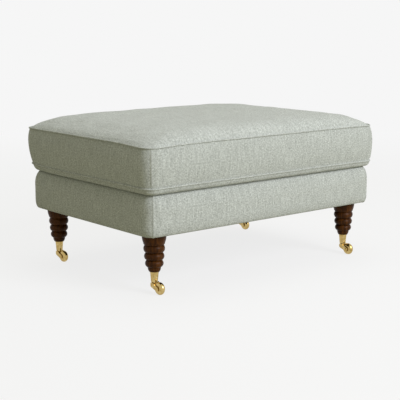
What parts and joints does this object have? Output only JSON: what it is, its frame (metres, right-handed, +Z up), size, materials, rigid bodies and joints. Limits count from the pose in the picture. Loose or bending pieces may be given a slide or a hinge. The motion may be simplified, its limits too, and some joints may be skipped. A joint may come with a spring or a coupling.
{
  "type": "upholstered footstool",
  "caption": "Rectangular upholstered footstool with a loose piped box cushion on a sprung padded base, turned wooden legs and small brass castors.",
  "frame": {"origin": "on the floor under the middle of the stool", "axes": "+X along the long side, +Y to the back, where the cushion's zip is, +Z up"},
  "size_m": [0.8942, 0.6412, 0.4483],
  "materials": {
    "upholstery": "matte",
    "walnut": "satin",
    "brass": "polished",
    "frame_timber": "matte",
    "steel": "satin",
    "hessian": "matte",
    "felt": "matte",
    "lining": "matte",
    "deck_lining": "matte",
    "foam": "matte",
    "zip_cloth": "matte"
  },
  "bodies": {
    "root": {"front_rail": "frame_timber", "back_rail": "frame_timber", "left_rail": "frame_timber", "right_rail": "frame_timber", "centre_rail": "frame_timber", "corner_block_front_left": "frame_timber", "corner_block_front_right": "frame_timber", "corner_block_back_left": "frame_timber", "corner_block_back_right": "frame_timber", "corner_dowels": "frame_timber", "block_screws": "steel", "tee_nuts": "steel", "hanger_bolts": "steel", "cup_screws": "brass", "zigzag_springs": "steel", "spring_clips": "steel", "hessian_sheet": "hessian", "deck_pad": "felt", "deck_cloth": "deck_lining", "side_wadding": "felt", "base_cover": "upholstery", "dust_cover": "lining", "staples": "steel", "leg_front_left": "walnut", "leg_front_right": "walnut", "leg_back_left": "walnut", "leg_back_right": "walnut", "castor_cup_front_left": "brass", "castor_cup_front_right": "brass", "castor_cup_back_left": "brass", "castor_cup_back_right": "brass"},
    "swivel_front_left": {"castor_horn_front_left": "brass", "swivel_pin_front_left": "steel", "wheel_axle_front_left": "brass"},
    "wheel_front_left": {"castor_wheel_front_left": "brass"},
    "swivel_front_right": {"castor_horn_front_right": "brass", "swivel_pin_front_right": "steel", "wheel_axle_front_right": "brass"},
    "wheel_front_right": {"castor_wheel_front_right": "brass"},
    "swivel_back_left": {"castor_horn_back_left": "brass", "swivel_pin_back_left": "steel", "wheel_axle_back_left": "brass"},
    "wheel_back_left": {"castor_wheel_back_left": "brass"},
    "swivel_back_right": {"castor_horn_back_right": "brass", "swivel_pin_back_right": "steel", "wheel_axle_back_right": "brass"},
    "wheel_back_right": {"castor_wheel_back_right": "brass"},
    "cushion": {"cushion_core": "foam", "cushion_wrap": "felt", "cushion_cover": "upholstery", "upper_piping": "upholstery", "lower_piping": "upholstery", "zip_tape": "zip_cloth"},
    "zip_slider": {"zip_slider": "steel"},
    "zip_pull": {"zip_pull": "steel"}
  },
  "joints": [
    {"name": "castor_swivel_front_left", "type": "hinge", "parent": "root", "child": "swivel_front_left", "pos_m": [-0.3714, -0.2414, 0.0321], "axis": [0, 0, 1], "continuous": true},
    {"name": "wheel_spin_front_left", "type": "hinge", "parent": "swivel_front_left", "child": "wheel_front_left", "pos_m": [-0.3714, -0.265, 0.0176], "axis": [1, 0, 0], "continuous": true},
    {"name": "castor_swivel_front_right", "type": "hinge", "parent": "root", "child": "swivel_front_right", "pos_m": [0.3714, -0.2414, 0.0321], "axis": [0, 0, 1], "continuous": true},
    {"name": "wheel_spin_front_right", "type": "hinge", "parent": "swivel_front_right", "child": "wheel_front_right", "pos_m": [0.3714, -0.265, 0.0176], "axis": [1, 0, 0], "continuous": true},
    {"name": "castor_swivel_back_left", "type": "hinge", "parent": "root", "child": "swivel_back_left", "pos_m": [-0.3714, 0.2414, 0.0321], "axis": [0, 0, 1], "continuous": true},
    {"name": "wheel_spin_back_left", "type": "hinge", "parent": "swivel_back_left", "child": "wheel_back_left", "pos_m": [-0.3714, 0.2178, 0.0176], "axis": [1, 0, 0], "continuous": true},
    {"name": "castor_swivel_back_right", "type": "hinge", "parent": "root", "child": "swivel_back_right", "pos_m": [0.3714, 0.2414, 0.0321], "axis": [0, 0, 1], "continuous": true},
    {"name": "wheel_spin_back_right", "type": "hinge", "parent": "swivel_back_right", "child": "wheel_back_right", "pos_m": [0.3714, 0.2178, 0.0176], "axis": [1, 0, 0], "continuous": true},
    {"name": "cushion_lift", "type": "slide", "parent": "root", "child": "cushion", "axis": [0, 0, 1], "range_m": [0, 0.25]},
    {"name": "zip_slide", "type": "slide", "parent": "cushion", "child": "zip_slider", "axis": [-1, 0, 0], "range_m": [0, 0.52]},
    {"name": "zip_pull_swing", "type": "hinge", "parent": "zip_slider", "child": "zip_pull", "pos_m": [0.26, 0.32253, 0.3514], "axis": [1, 0, 0], "range_deg": [0, 150]}
  ]
}
